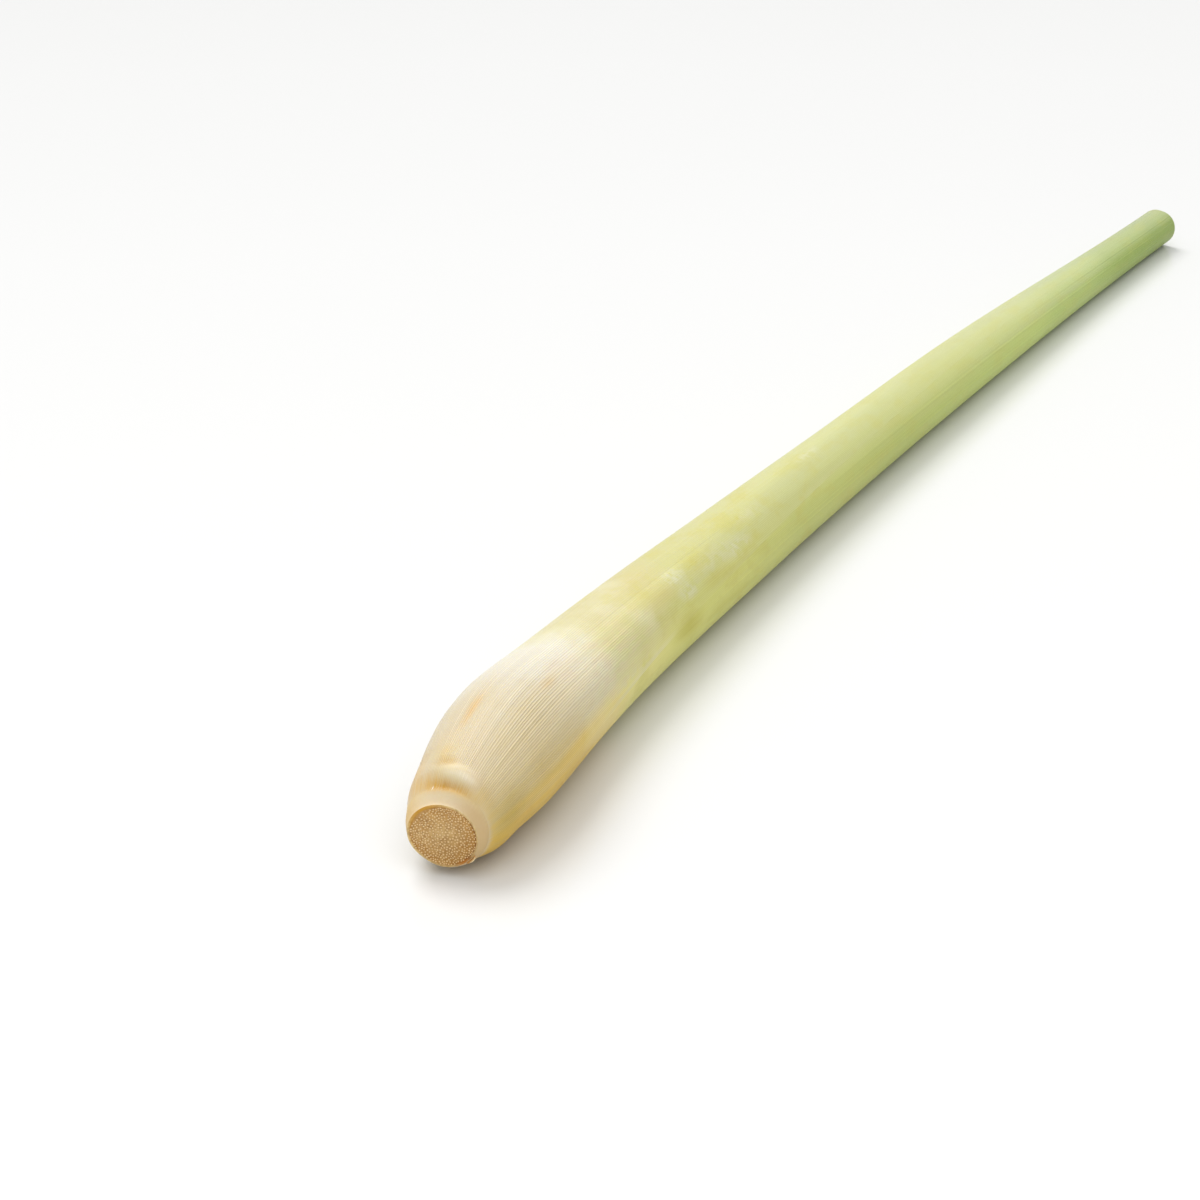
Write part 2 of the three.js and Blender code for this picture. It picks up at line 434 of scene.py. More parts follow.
def stem_body():
    """The stem with its root cut, the collar round it and the core of the bulb."""
    piece = drawn_rod(168, STEM_STATIONS)
    inset_end(piece, 0.0, [RIM_WIDTH] + DISC_RINGS)
    unit = vertex_places(piece)
    station = unit[:, 0]
    share = np.clip(np.hypot(unit[:, 1], unit[:, 2]), 0, 1)
    turn = np.degrees(np.arctan2(unit[:, 2], unit[:, 1]))
    radius = stem_radius(turn, station) * share
    collar = hump(station - 1.1, 1.1) * COLLAR_SWELL * (share > 0.999)
    rim_round = hump(station, 0.35) * -RIM_ROUNDING * (share > 0.999)
    on_cut = station < 1e-6
    angle = np.radians(turn)
    knife = KNIFE_WAVE * np.sin(9 * share * np.cos(angle + 0.7)) * smoothstep(share, 1, 0.9)
    notch = NOTCH_DEPTH * hump(turn_between(NOTCH_TURN, turn), NOTCH_SPREAD)
    notch = notch * smoothstep(share, 0.8, 0.95)
    station = station + np.where(on_cut, cut_hollow(share) + knife + notch, 0)
    bend(piece, station, turn, radius + collar + rim_round, share + 2 * (~on_cut))
    face_outwards()
    bpy.ops.object.shade_smooth_by_angle(angle=math.radians(40))
    return piece


def heart_roll():
    """The young leaf in the middle, rolled up on itself like a scroll."""
    piece = flat_plate(150, 44)
    unit = vertex_places(piece)
    share = unit[:, 0] + 0.5
    outside = unit[:, 2] > 0.5
    start = STEM_END + SOLID_GAP
    station = start + (LENGTH - HEART_TRIM - start) * (unit[:, 1] + 0.5)
    turn = margin_turn(station, HEART_START_TURN) + share * HEART_TURNS * 360
    room = space_inside(LAYERS_IN_WALL, turn, station) - HEART_PLAY
    pitch = room * (1 - HEART_CORE) / HEART_TURNS
    outer = room * HEART_CORE + pitch * HEART_TURNS * share
    outer = np.minimum(outer, room)
    inner = np.maximum(outer - pitch * HEART_WALL, HEART_LEAST_RADIUS)
    bend(piece, station, turn, np.where(outside, outer, inner), 50.0)
    face_outwards()
    bpy.ops.object.shade_smooth_by_angle(angle=math.radians(50))
    return piece


VEIN_END_SEED = 7
VEIN_END_REACH = 0.91
# Width of the amber crescent beside the vein ends, as a share of the root cut's radius
AMBER_CRESCENT = 0.08
VEIN_END_TRIES = 14000
# Least spacing of the vein ends, as a share of the root cut's radius
CENTRE_SPACING = 0.08
RIM_SPACING = 0.056
BEAD_RISE = 0.075


def vein_ends(count, width):
    """The ends of the stem's veins: low beads sunk into the root cut, closer towards its rim."""
    draw = np.random.default_rng(VEIN_END_SEED)
    spots = []
    for _ in range(VEIN_END_TRIES):
        if len(spots) == count:
            break
        spot = draw.uniform(-1, 1, 2)
        reach = math.hypot(*spot)
        spacing = CENTRE_SPACING + (RIM_SPACING - CENTRE_SPACING) * reach
        crescent = hump(turn_between(50, math.degrees(math.atan2(spot[1], spot[0]))), 75)
        limit = VEIN_END_REACH - AMBER_CRESCENT * crescent
        if reach < limit and all(math.dist(spot, other) > spacing for other in spots):
            spots.append(spot)
    spots = np.array(spots)
    count = len(spots)
    begin()
    bpy.ops.mesh.primitive_uv_sphere_add(segments=8, ring_count=5, radius=1)
    bead = bpy.context.object
    bead_size = len(bead.data.vertices)
    array = bead.modifiers.new("beads", "ARRAY")
    array.count = count
    bpy.ops.object.modifier_apply(modifier="beads")
    unit = vertex_places(bead)
    index = np.repeat(np.arange(count), bead_size)
    first = unit[:bead_size]
    local = np.tile(first, (count, 1))
    reach = np.hypot(*spots.T)
    turn = np.degrees(np.arctan2(spots[:, 1], spots[:, 0]))
    size = width / 2 * draw.uniform(0.75, 1.15, count) * (1.15 - 0.3 * reach)
    rim = skin_radius(turn, np.zeros(count))
    side = (reach * rim * np.cos(np.radians(turn)))[index] + local[:, 0] * size[index]
    up = (reach * rim * np.sin(np.radians(turn)))[index] + local[:, 1] * size[index]
    share = np.hypot(side, up) / rim[index]
    sunk = cut_hollow(share) - local[:, 2] * BEAD_RISE
    bend(bead, sunk, np.degrees(np.arctan2(up, side)), np.hypot(side, up), local[:, 2])
    face_outwards()
    bpy.ops.object.shade_smooth()
    return bead


def skin_flap():
    """A scrap of torn skin that stands off the rim of the root cut."""
    piece = flat_plate(14, 8)
    unit = vertex_places(piece)
    across = unit[:, 0]
    along = unit[:, 1] + 0.5
    outside = unit[:, 2] > 0.5
    narrowing = 1 - 0.7 * along ** 1.5
    turn = NOTCH_TURN - 9 * along + across * 24 * narrowing
    station = 0.7 - along * 1.5 + 0.25 * np.cos(5 * across)
    lift = 0.03 + 0.5 * along ** 1.4
    radius = skin_radius(turn, np.clip(station, 0, None)) + lift - 0.13 * ~outside
    bend(piece, station, turn, radius, along)
    face_outwards()
    bpy.ops.object.shade_smooth_by_angle(angle=math.radians(60))
    return piece


# Materials

# Half a turn, and far beyond the ends of the other two values
HALF_TURN = (0.5, 100.0, 100.0)


def add_node(tree, kind, links=None, stops=None, **settings):
    """Adds a node, sets its values, and links or sets its inputs. A ramp also gets its stops."""
    node = tree.nodes.new(kind)
    for key, value in settings.items():
        setattr(node, key, value)
    for socket, source in (links or {}).items():
        if isinstance(source, bpy.types.NodeSocket):
            tree.links.new(source, node.inputs[socket])
        else:
            node.inputs[socket].default_value = source
    if stops:
        elements = node.color_ramp.elements
        elements[0].position, elements[1].position = stops[0][0], stops[-1][0]
        elements[0].color, elements[1].color = (*stops[0][1], 1.0), (*stops[-1][1], 1.0)
        for place, value in stops[1:-1]:
            elements.new(place).color = (*value, 1.0)
    return node


def new_material(name):
    material = bpy.data.materials.new(name)
    material.use_nodes = True
    tree = material.node_tree
    tree.nodes.clear()
    output = tree.nodes.new("ShaderNodeOutputMaterial")
    shader = tree.nodes.new("ShaderNodeBsdfPrincipled")
    tree.links.new(shader.outputs["BSDF"], output.inputs["Surface"])
    return material, tree, shader


def set_flesh(shader, roughness, subsurface, depth):
    """Plant flesh lets light in a little way, red further than blue. Depth is in millimetres."""
    shader.inputs["Roughness"].default_value = roughness
    shader.inputs["IOR"].default_value = 1.42
    shader.inputs["Specular IOR Level"].default_value = 0.25
    shader.inputs["Subsurface Weight"].default_value = subsurface
    shader.inputs["Subsurface Radius"].default_value = (1.0, 0.8, 0.3)
    shader.inputs["Subsurface Scale"].default_value = depth * MM


def combine(tree, operation, first, second=0.0, third=0.0):
    links = {0: first, 1: second, 2: third}
    return add_node(tree, "ShaderNodeMath", links, operation=operation).outputs[0]


def remap(tree, value, low, high):
    """Smooth step of a value: 0 at low and 1 at high, also where high is the smaller."""
    links = {"Value": value, "From Min": low, "From Max": high}
    node = add_node(tree, "ShaderNodeMapRange", links, interpolation_type="SMOOTHSTEP")
    return node.outputs["Result"]


def noise(tree, vector, scale, detail=2.0, roughness=0.55):
    links = {"Vector": vector, "Scale": scale, "Detail": detail, "Roughness": roughness}
    return add_node(tree, "ShaderNodeTexNoise", links).outputs["Fac"]


def ramp(tree, value, stops):
    return add_node(tree, "ShaderNodeValToRGB", {"Fac": value}, stops=stops).outputs["Color"]


def tones(pairs, unit=LENGTH):
    """Ramp stops from places in millimetres and hex colours or grey values."""
    colours = [srgb(c) if isinstance(c, str) else (c, c, c) for _, c in pairs]
    return [(at / unit, colour) for (at, _), colour in zip(pairs, colours)]


def object_place(tree):
    return add_node(tree, "ShaderNodeTexCoord").outputs["Object"]


def place_parts(tree):
    """The kept place of a point: a vector, and its turn, station in metres and third value."""
    place = add_node(tree, "ShaderNodeAttribute", attribute_name=STALK_PLACE).outputs["Vector"]
    parts = add_node(tree, "ShaderNodeSeparateXYZ", {"Vector": place})
    return place, parts.outputs["X"], parts.outputs["Y"], parts.outputs["Z"]


def stretch(tree, place, across, along):
    """The kept place scaled to cells across the whole girth and along each metre."""
    links = {0: place, 1: (across, along, 0.0)}
    return add_node(tree, "ShaderNodeVectorMath", links, operation="MULTIPLY").outputs[0]


def zone(tree, place, turn, station, turn_reach, station_reach):
    """A soft oval on the skin: 1 in its middle, 0 beyond its reach."""
    middle = (turn / 360, station * MM, 0)
    scale = (360 / turn_reach, 1 / (station_reach * MM), 0)
    away = add_node(tree, "ShaderNodeVectorMath", {0: place, 1: middle}, operation="SUBTRACT")
    nearest = add_node(tree, "ShaderNodeVectorMath", {
        0: away.outputs[0], 1: HALF_TURN, 2: tuple(-v for v in HALF_TURN)}, operation="WRAP")
    scaled = add_node(tree, "ShaderNodeVectorMath", {0: nearest.outputs[0], 1: scale},
                      operation="MULTIPLY")
    length = add_node(tree, "ShaderNodeVectorMath", {0: scaled.outputs[0]}, operation="LENGTH")
    return remap(tree, length.outputs["Value"], 1.0, 0.0)


def towards_turn(tree, turn, middle):
    """Cosine of the angle between a point's turn and a given one."""
    angle = combine(tree, "MULTIPLY_ADD", turn, 2 * math.pi, -math.radians(middle))
    return combine(tree, "COSINE", angle)


def towards_margin(tree, turn, station):
    """Cosine of the angle between a point's turn and the outer leaf's free margin beside it."""
    climb = combine(tree, "EXPONENT", combine(tree, "MULTIPLY", station, -1 / (MARGIN_CLIMB * MM)))
    drift = (MARGIN_ROOT_TURN - MARGIN_TIP_TURN) / 360
    margin = combine(tree, "MULTIPLY_ADD", climb, drift, MARGIN_TIP_TURN / 360)
    angle = combine(tree, "MULTIPLY", combine(tree, "SUBTRACT", turn, margin), 2 * math.pi)
    return combine(tree, "COSINE", angle)


def tint(tree, base, mask, strength, shade, blend="MIX"):
    """Lays a colour over another where a mask is, or multiplies it in."""
    factor = combine(tree, "MULTIPLY", mask, strength)
    links = {"Factor": factor, 6: base, 7: (*shade, 1.0)}
    return add_node(tree, "ShaderNodeMix", links, data_type="RGBA", blend_type=blend).outputs[2]


def mix_colours(tree, factor, first, second):
    links = {"Factor": factor, 6: first, 7: second}
    return add_node(tree, "ShaderNodeMix", links, data_type="RGBA").outputs[2]


def raise_surface(tree, shader, height, millimetres):
    links = {"Height": height, "Strength": 1.0, "Distance": millimetres * MM}
    bump = add_node(tree, "ShaderNodeBump", links)
    tree.links.new(bump.outputs["Normal"], shader.inputs["Normal"])


# Colour along the side that was turned to the light, and along the other: [station, colour]
LIT_TONES = [
    (0, "#d8caa4"), (8, "#d8c9ac"), (14, "#d6cab0"), (28, "#dcd6c8"), (48, "#dfdbcb"),
    (62, "#d9d4b1"), (78, "#cbc28f"), (105, "#c8c58f"), (180, "#c8c992"), (240, "#c7c88d"),
    (285, "#c5c894"), (325, "#bbc391"), (360, "#b1ba88"), (LENGTH, "#adb589"),
]
SHADED_TONES = [
    (0, "#e5c26c"), (12, "#e7c25a"), (20, "#eecb64"), (32, "#edcd60"), (46, "#f3dd88"),
    (62, "#eae390"), (90, "#dad97a"), (150, "#c8cd76"), (200, "#bdc76e"), (280, "#c2d276"),
    (325, "#b3c674"), (360, "#9fb55f"), (LENGTH, "#93a95a"),
]
SHADED_TURN = 215
FULLY_SHADED = 1.3
VEINS_ROUND = 160
LEAF_SUBSURFACE = 0.18
# What a furrow and a rib do to the colour round them: their own tones, with painted shade in the furrows
# and painted highlight on the ribs
FURROW_TONE_AND_SHADE = (0.8, 0.74, 0.58)
RIB_TONE_AND_HIGHLIGHT = (1.28, 1.27, 1.22)

# Stains of the skin, with painted shade and a painted highlight among them: turn, station, reach of
# each, strength, colour
STAINS_AND_PAINTED_LIGHT = [
    # The groove above the collar: its own amber, darkened with painted shade of the crease
    (86, 2.4, 50, 1.7, 1.0, "#b58428"),
    (58, 3.0, 40, 2.4, 0.65, "#c89c40"),
    (114, 2.3, 36, 1.7, 0.6, "#c2973f"),
    (140, 3.6, 34, 2.6, 0.4, "#d0b264"),
    (79, 6.2, 24, 1.7, 0.55, "#cba24c"),
    (72, 8.2, 16, 2.2, 0.3, "#d8b060"),
    (26, 5.0, 34, 8.0, 0.45, "#d6a648"),
    # Painted highlight on the ridge above the groove
    (104, 4.3, 30, 0.8, 0.75, "#efe4cc"),
    (69, 2.2, 1.0, 0.6, 1.0, "#fbf4e4"),
    (176, 8.0, 34, 7.0, 0.4, "#c4ab52"),
    (122, 26.0, 34, 20.0, 0.7, "#cdbf9c"),
    (76, 18.5, 8, 7.5, 0.6, "#d9ae6a"),
    (117, 34.0, 8, 5.0, 0.38, "#cfa96e"),
    (108, 40.0, 9, 6.0, 0.2, "#d3ad78"),
    (205, 34.0, 18, 18.0, 0.35, "#c7923f"),
    (177, 89.0, 19, 10.0, 1.0, "#c2bb4e"),
    (122, 101.0, 24, 9.0, 0.5, "#cbbf5a"),
    (112, 127.0, 18, 11.0, 0.35, "#cac35e"),
    (150, 104.0, 16, 8.0, 0.4, "#c6b955"),
    (190, 110.0, 12, 20.0, 0.35, "#b9b13c"),
    (128, 84.0, 16, 10.0, 0.35, "#cbb463"),
    (262, 16.0, 40, 14.0, 0.5, "#cf9f52"),
    (318, 40.0, 22, 20.0, 0.4, "#cfa25c"),
    (352, 88.0, 14, 10.0, 0.4, "#b0a33a"),
    (10, 140.0, 18, 22.0, 0.3, "#b5b24a"),
]
# Places where the wax bloom is thick: turn, station, reach of each, strength
BLOOM = [
    (118, 91.5, 17, 7.0, 0.6),
    (141, 93.0, 15, 6.0, 0.55),
    (139, 117.5, 16, 8.0, 0.5),
    (112, 128.0, 14, 10.0, 0.3),
    (95, 165.0, 12, 9.0, 0.35),
    (132, 108.0, 22, 16.0, 0.25),
    (170, 62.0, 9, 18.0, 0.35),
    (20, 100.0, 20, 16.0, 0.5),
    (330, 122.0, 24, 14.0, 0.5),
    (285, 96.0, 24, 16.0, 0.4),
]
BLOOM_WHITE = "#dfddc4"
# Middle height of the collar's edge on the sheath, its sway round the stalk, and its lowest side
COLLAR_MIDDLE = 2.3
COLLAR_SWAY = 1.0
COLLAR_NARROW_TURN = 70
COLLAR_TONE = "#dbc59f"


def collar_mask(tree, turn, station, grain):
    """1 on the smooth collar, 0 where the veins of the sheath begin."""
    sway = towards_turn(tree, turn, COLLAR_NARROW_TURN)
    edge = combine(tree, "MULTIPLY_ADD", sway, -COLLAR_SWAY * MM, COLLAR_MIDDLE * MM)
    frayed = combine(tree, "MULTIPLY_ADD", grain, 0.5 * MM, edge)
    above = combine(tree, "SUBTRACT", station, frayed)
    return remap(tree, above, 0.4 * MM, -1.2 * MM)


def leaf_tones(tree, place, turn, station, body):
    """Cream at the base to pale green at the tip, richer on the shaded side."""
    wander = noise(tree, body, 55.0, 3.0)
    moved = combine(tree, "MULTIPLY_ADD", wander, 0.05, station)
    share = combine(tree, "MULTIPLY_ADD", moved, 1 / (LENGTH * MM), -0.025 / (LENGTH * MM))
    long_streak = noise(tree, stretch(tree, place, 24, 10), 1.0, 3.0)
    facing = towards_turn(tree, turn, SHADED_TURN)
    uneven = combine(tree, "MULTIPLY_ADD", long_streak, 0.6, facing)
    # The shaded colour reaches further round in the neck, and again near the tip
    further = ramp(tree, share, tones([
        (0, 0.1), (14, 0.0), (44, 0.0), (95, 0.3), (290, 0.3), (345, 0.45)]))
    shaded = combine(tree, "DIVIDE", combine(tree, "ADD", uneven, further), FULLY_SHADED)
    shaded = ramp(tree, shaded, tones([(0, 0), (0.87, 0.45), (FULLY_SHADED, 1)], FULLY_SHADED))
    lit_colour = ramp(tree, share, tones(LIT_TONES))
    shaded_colour = ramp(tree, share, tones(SHADED_TONES))
    return mix_colours(tree, shaded, lit_colour, shaded_colour)


def lay_stains_and_painted_light(tree, base, place, streak, beyond=LENGTH):
    """Lays on the stains, and the painted shade and highlight among them, that lie nearer to the root
    than a place given in millimetres.
    """
    broken = combine(tree, "MULTIPLY_ADD", streak, 0.5, 0.6)
    for at_turn, at, turn_reach, reach, amount, code in STAINS_AND_PAINTED_LIGHT:
        if at > beyond:
            continue
        mask = combine(tree, "MULTIPLY", zone(tree, place, at_turn, at, turn_reach, reach), broken)
        base = tint(tree, base, mask, amount, srgb(code))
    return base


def leaf_veins(tree, place, turn):
    """Ribs of the skin: 1 on a rib, 0 in a furrow, some stronger than others."""
    stretched = stretch(tree, place, VEINS_ROUND, 45.0)
    streak = remap(tree, noise(tree, stretched, 0.8, 2.0), 0.3, 0.68)
    sway = noise(tree, stretched, 0.18, 0.0)
    phase = combine(tree, "MULTIPLY", turn, VEINS_ROUND * 2 * math.pi)
    wave = combine(tree, "SINE", combine(tree, "MULTIPLY_ADD", sway, 9.0, phase))
    strand = remap(tree, noise(tree, stretched, 0.6, 1.0), 0.3, 0.7)
    rib = remap(tree, combine(tree, "MULTIPLY_ADD", strand, 0.7, wave), -0.3, 1.6)
    return rib, streak


def leaf_skin():
    """Living grass leaf: satin under a thin wax bloom, with close parallel veins."""
    material, tree, shader = new_material("lemongrass_leaf_skin")
    place, turn, station, from_margin = place_parts(tree)
    body = object_place(tree)
    share = combine(tree, "MULTIPLY", station, 1 / (LENGTH * MM))
    fine = noise(tree, body, 420.0, 4.0, 0.6)
    rib, streak = leaf_veins(tree, place, turn)
    base = leaf_tones(tree, place, turn, station, body)

    # Yellow clouds of the neck, about a centimetre long
    cloud = remap(tree, noise(tree, stretch(tree, place, 9, 85), 1.0, 4.0, 0.6), 0.46, 0.66)
    clouded = ramp(tree, share, tones([
        (45, 0.0), (70, 0.8), (130, 1.0), (200, 0.5), (LENGTH, 0.3)]))
    base = tint(tree, base, combine(tree, "MULTIPLY", cloud, clouded), 0.4, srgb("#c6bd5c"))
    base = lay_stains_and_painted_light(tree, base, place, streak)

    # Pinkish mottle of the bulb's shoulder, drawn out along the veins
    mottle = remap(tree, noise(tree, stretch(tree, place, 48, 210), 1.0, 4.0, 0.65), 0.42, 0.62)
    around = zone(tree, place, 138, 56, 62, 32)
    base = tint(tree, base, combine(tree, "MULTIPLY", mottle, around), 0.35, srgb("#e2c7a8"))

    # Wax bloom, worn off in places
    worn = remap(tree, fine, 0.36, 0.6)
    for at_turn, at, turn_reach, reach, amount in BLOOM:
        mask = combine(tree, "MULTIPLY", zone(tree, place, at_turn, at, turn_reach, reach), worn)
        base = tint(tree, base, mask, amount, srgb(BLOOM_WHITE))

    # The free margin dries to a pale skin about 1.3 mm wide
    edge = remap(tree, from_margin, 1.6, 0.5)
    shown = ramp(tree, share, tones([
        (8, 0.1), (45, 0.2), (64, 0.8), (74, 0.8), (84, 0.1), (LENGTH, 0.05)]))
    base = tint(tree, base, combine(tree, "MULTIPLY", edge, shown), 0.5, srgb("#e8e3c8"))

    # Veins show most on the bulb, and little in the green part
    strength = ramp(tree, share, tones([
        (2.1, 0.0), (4.5, 0.8), (10, 1.0), (26, 1.0), (38, 0.7), (55, 0.5), (82, 0.24),
        (LENGTH, 0.18)]))
    # The ridge above the groove is stretched nearly smooth
    ridge = remap(tree, zone(tree, place, 100, 4.6, 44, 2.6), 0.9, 0.1)
    strength = combine(tree, "MULTIPLY", strength, combine(tree, "MAXIMUM", ridge, 0.35))
    shown_rib = combine(tree, "MULTIPLY", strength, combine(tree, "MULTIPLY", rib, streak))
    furrow = combine(tree, "SUBTRACT", 1.0, rib)
    shown_furrow = combine(tree, "MULTIPLY", furrow, strength)
    # Furrows darkened with painted shade and ribs lightened with painted highlight, over the veins' own
    # tones
    base = tint(tree, base, shown_furrow, 0.6, FURROW_TONE_AND_SHADE, "MULTIPLY")
    base = tint(tree, base, shown_rib, 0.6, RIB_TONE_AND_HIGHLIGHT, "MULTIPLY")

    collar = collar_mask(tree, turn, station, streak)
    base = tint(tree, base, collar, 0.9, srgb(COLLAR_TONE))

    tree.links.new(base, shader.inputs["Base Color"])
    set_flesh(shader, 0.42, LEAF_SUBSURFACE, 1.8)
    # Light would be lost through the free margin, which has next to no depth
    thin = remap(tree, towards_margin(tree, turn, station), 0.88, 0.99)
    depth = combine(tree, "MULTIPLY_ADD", thin, -LEAF_SUBSURFACE, LEAF_SUBSURFACE)
    tree.links.new(depth, shader.inputs["Subsurface Weight"])
    shader.inputs["Coat Weight"].default_value = 0.05
    shader.inputs["Coat Roughness"].default_value = 0.3
    smooth = combine(tree, "SUBTRACT", 1.0, collar)
    height = combine(tree, "MULTIPLY_ADD", fine, 0.25, combine(tree, "MULTIPLY", rib, strength))
    raise_surface(tree, shader, combine(tree, "MULTIPLY", height, smooth), 0.09)
    return material


def leaf_flesh(name, root_code, tip_code):
    """Inner leaf flesh: moist, smooth and paler than the skin that sees light."""
    material, tree, shader = new_material(name)
    place, _, station, _ = place_parts(tree)
    share = combine(tree, "MULTIPLY", station, 1 / (LENGTH * MM))
    base = ramp(tree, share, tones([(0, root_code), (LENGTH, tip_code)]))
    streak = noise(tree, stretch(tree, place, 150, 60), 0.6)
    base = tint(tree, base, streak, 0.35, srgb("#eef0d0"))
    tree.links.new(base, shader.inputs["Base Color"])
    set_flesh(shader, 0.38, 0.15, 1.2)
    raise_surface(tree, shader, streak, 0.05)
    return material


# Colour of the root cut by its share of the radius: pith, then the darker rim
CUT_TONES = [
    (0.0, "#dcb97d"), (0.3, "#d5af72"), (0.6, "#cb9f60"), (0.86, "#c79753"), (0.905, "#b9843f"),
    (0.925, "#dcb878"), (0.955, "#e3c88c"), (1.0, "#e6d09e"),
]


CUT_LOW_TURN = 235


def low_side_mask(tree, turn):
    """1 on the low side of the root cut, fading out round it."""
    return remap(tree, towards_turn(tree, turn, CUT_LOW_TURN), -0.2, 0.9)


def stem_flesh():
    """Sawn grass stem: dry tan pith with a brown rim, inside a smooth pale collar."""
    material, tree, shader = new_material("lemongrass_stem_flesh")
    place, turn, station, share = place_parts(tree)
    body = object_place(tree)
    grain = noise(tree, body, 1400.0, 3.0, 0.6)
    cloud = noise(tree, body, 330.0)

    cut = ramp(tree, share, tones(CUT_TONES, 1.0))
    cut = tint(tree, cut, remap(tree, cloud, 0.4, 0.7), 0.25, srgb("#d9bd88"))
    cut = tint(tree, cut, remap(tree, grain, 0.6, 0.35), 0.4, srgb("#8f5f2c"))
    low_side = low_side_mask(tree, turn)
    cut = tint(tree, cut, low_side, 0.35, srgb("#9f6f2e"))
    ring = combine(tree, "COMPARE", share, 0.915, 0.013)
    ring = combine(tree, "MULTIPLY", ring, remap(tree, towards_turn(tree, turn, 190), 0.1, 0.8))
    cut = tint(tree, cut, ring, 0.8, srgb("#7a4a1c"))
    rim = remap(tree, share, 0.87, 0.92)
    amber = combine(tree, "MULTIPLY", rim, zone(tree, place, 50, 0.1, 60, 2.0))
    cut = tint(tree, cut, amber, 1.0, srgb("#cf9a38"))
    notch = combine(tree, "MULTIPLY", rim, zone(tree, place, 232, 0.1, 20, 2.0))
    cut = tint(tree, cut, notch, 0.9, srgb("#b9742a"))

    skin = leaf_tones(tree, place, turn, station, body)
    rib, streak = leaf_veins(tree, place, turn)
    skin = lay_stains_and_painted_light(tree, skin, place, streak, 10.0)
    collar = collar_mask(tree, turn, station, streak)
    frost = remap(tree, noise(tree, body, 2600.0, 4.0, 0.7), 0.3, 0.75)
    collar_colour = tint(tree, srgb(COLLAR_TONE) + (1.0,), frost, 0.3, srgb("#e4d6bc"))
    sunless = remap(tree, towards_turn(tree, turn, 175), 0.2, 0.9)
    collar_colour = tint(tree, collar_colour, sunless, 0.8, srgb("#cfb07e"))
    skin = mix_colours(tree, combine(tree, "MULTIPLY", collar, 0.92), skin, collar_colour)
    skin = tint(tree, skin, zone(tree, place, 14, 0.6, 52, 2.8), 0.5, srgb("#dcb35c"))

    off_cut = combine(tree, "GREATER_THAN", share, 1.5)
    base = mix_colours(tree, off_cut, cut, skin)
    tree.links.new(base, shader.inputs["Base Color"])
    set_flesh(shader, 0.55, 0.1, 1.0)
    raise_surface(tree, shader, grain, 0.06)
    return material


def vein_fibre():
    """Cut ends of the tough fibres: pale, hard and a little shiny."""
    material, tree, shader = new_material("lemongrass_vein_fibre")
    _, turn, _, height = place_parts(tree)
    base = ramp(tree, height, tones([(0.3, "#c09257"), (0.7, "#e9c78f"), (1.0, "#f5d8a4")], 1.0))
    speck = noise(tree, object_place(tree), 1500.0, 1.0)
    base = tint(tree, base, speck, 0.25, srgb("#cfa668"))
    low_side = low_side_mask(tree, turn)
    base = tint(tree, base, low_side, 0.2, srgb("#cda262"))
    tree.links.new(base, shader.inputs["Base Color"])
    shader.inputs["Roughness"].default_value = 0.45
    return material


def torn_skin():
    """Dried scrap of leaf skin, papery and orange-brown towards its torn end."""
    material, tree, shader = new_material("lemongrass_torn_skin")
    _, _, _, along = place_parts(tree)
    stops = tones([(0.0, "#e0c288"), (0.55, "#c99040"), (1.0, "#ead6a6")], 1.0)
    tree.links.new(ramp(tree, along, stops), shader.inputs["Base Color"])
    shader.inputs["Roughness"].default_value = 0.6
    return material


def polished_floor(shade):
    """Polished white acrylic sheet: bright, with a faint soft reflection."""
    material, _, shader = new_material("white_acrylic_sheet")
    shader.inputs["Base Color"].default_value = (*shade, 1.0)
    shader.inputs["Roughness"].default_value = 0.17
    shader.inputs["IOR"].default_value = 1.49
    return material


class LemongrassSettings(bpy.types.PropertyGroup):
    vein_end_count: bpy.props.IntProperty(
        name="Vein ends", description="Most vein ends to fit on the root cut",
        default=460, min=50, max=900)
    vein_end_width: bpy.props.FloatProperty(
        name="Vein end width", description="Width of one cut vein end, in millimetres",
        default=0.42, min=0.1, max=1.0)
    floor_width: bpy.props.FloatProperty(
        name="Floor width", description="Side of the floor sheet",
        default=12.0, subtype="DISTANCE", unit="LENGTH")
    floor_colour: bpy.props.FloatVectorProperty(
        name="Floor colour", description="Colour of the floor sheet", subtype="COLOR",
        default=srgb("#dfdfde"), size=3, min=0, max=1)
    inner_root_colour: bpy.props.StringProperty(
        name="Inner leaf colour", description="Hex colour of the inner leaves at the root",
        default="#e9dcab")


class LEMONGRASS_OT_stem(bpy.types.Operator):
    """Add the stem with its root cut and collar"""
    bl_idname = "lemongrass.stem"
    bl_label = "Stem and root cut"

    def execute(self, context):
        stem_body()
        finish_piece("stem_body", stem_flesh(), "stem")
        return {"FINISHED"}


class LEMONGRASS_OT_vein_ends(bpy.types.Operator):
    """Add the cut vein ends on the root cut"""
    bl_idname = "lemongrass.vein_ends"
    bl_label = "Vein ends"

    def execute(self, context):
        settings = context.scene.lemongrass
        vein_ends(settings.vein_end_count, settings.vein_end_width)
        finish_piece("vein_ends", vein_fibre())
        return {"FINISHED"}


class LEMONGRASS_OT_skin_flap(bpy.types.Operator):
    """Add the scrap of torn skin at the root cut"""
    bl_idname = "lemongrass.skin_flap"
    bl_label = "Torn skin"

    def execute(self, context):
        skin_flap()
        finish_piece("skin_flap", torn_skin())
        return {"FINISHED"}


class LEMONGRASS_OT_outer_leaf(bpy.types.Operator):
    """Add the outer leaf sheath"""
    bl_idname = "lemongrass.outer_leaf"
    bl_label = "Outer leaf"

    def execute(self, context):
        wound_leaf(LEAVES[0], 0)
        finish_piece(LEAVES[0]["name"], leaf_skin(), LEAVES[0]["node"])
        return {"FINISHED"}


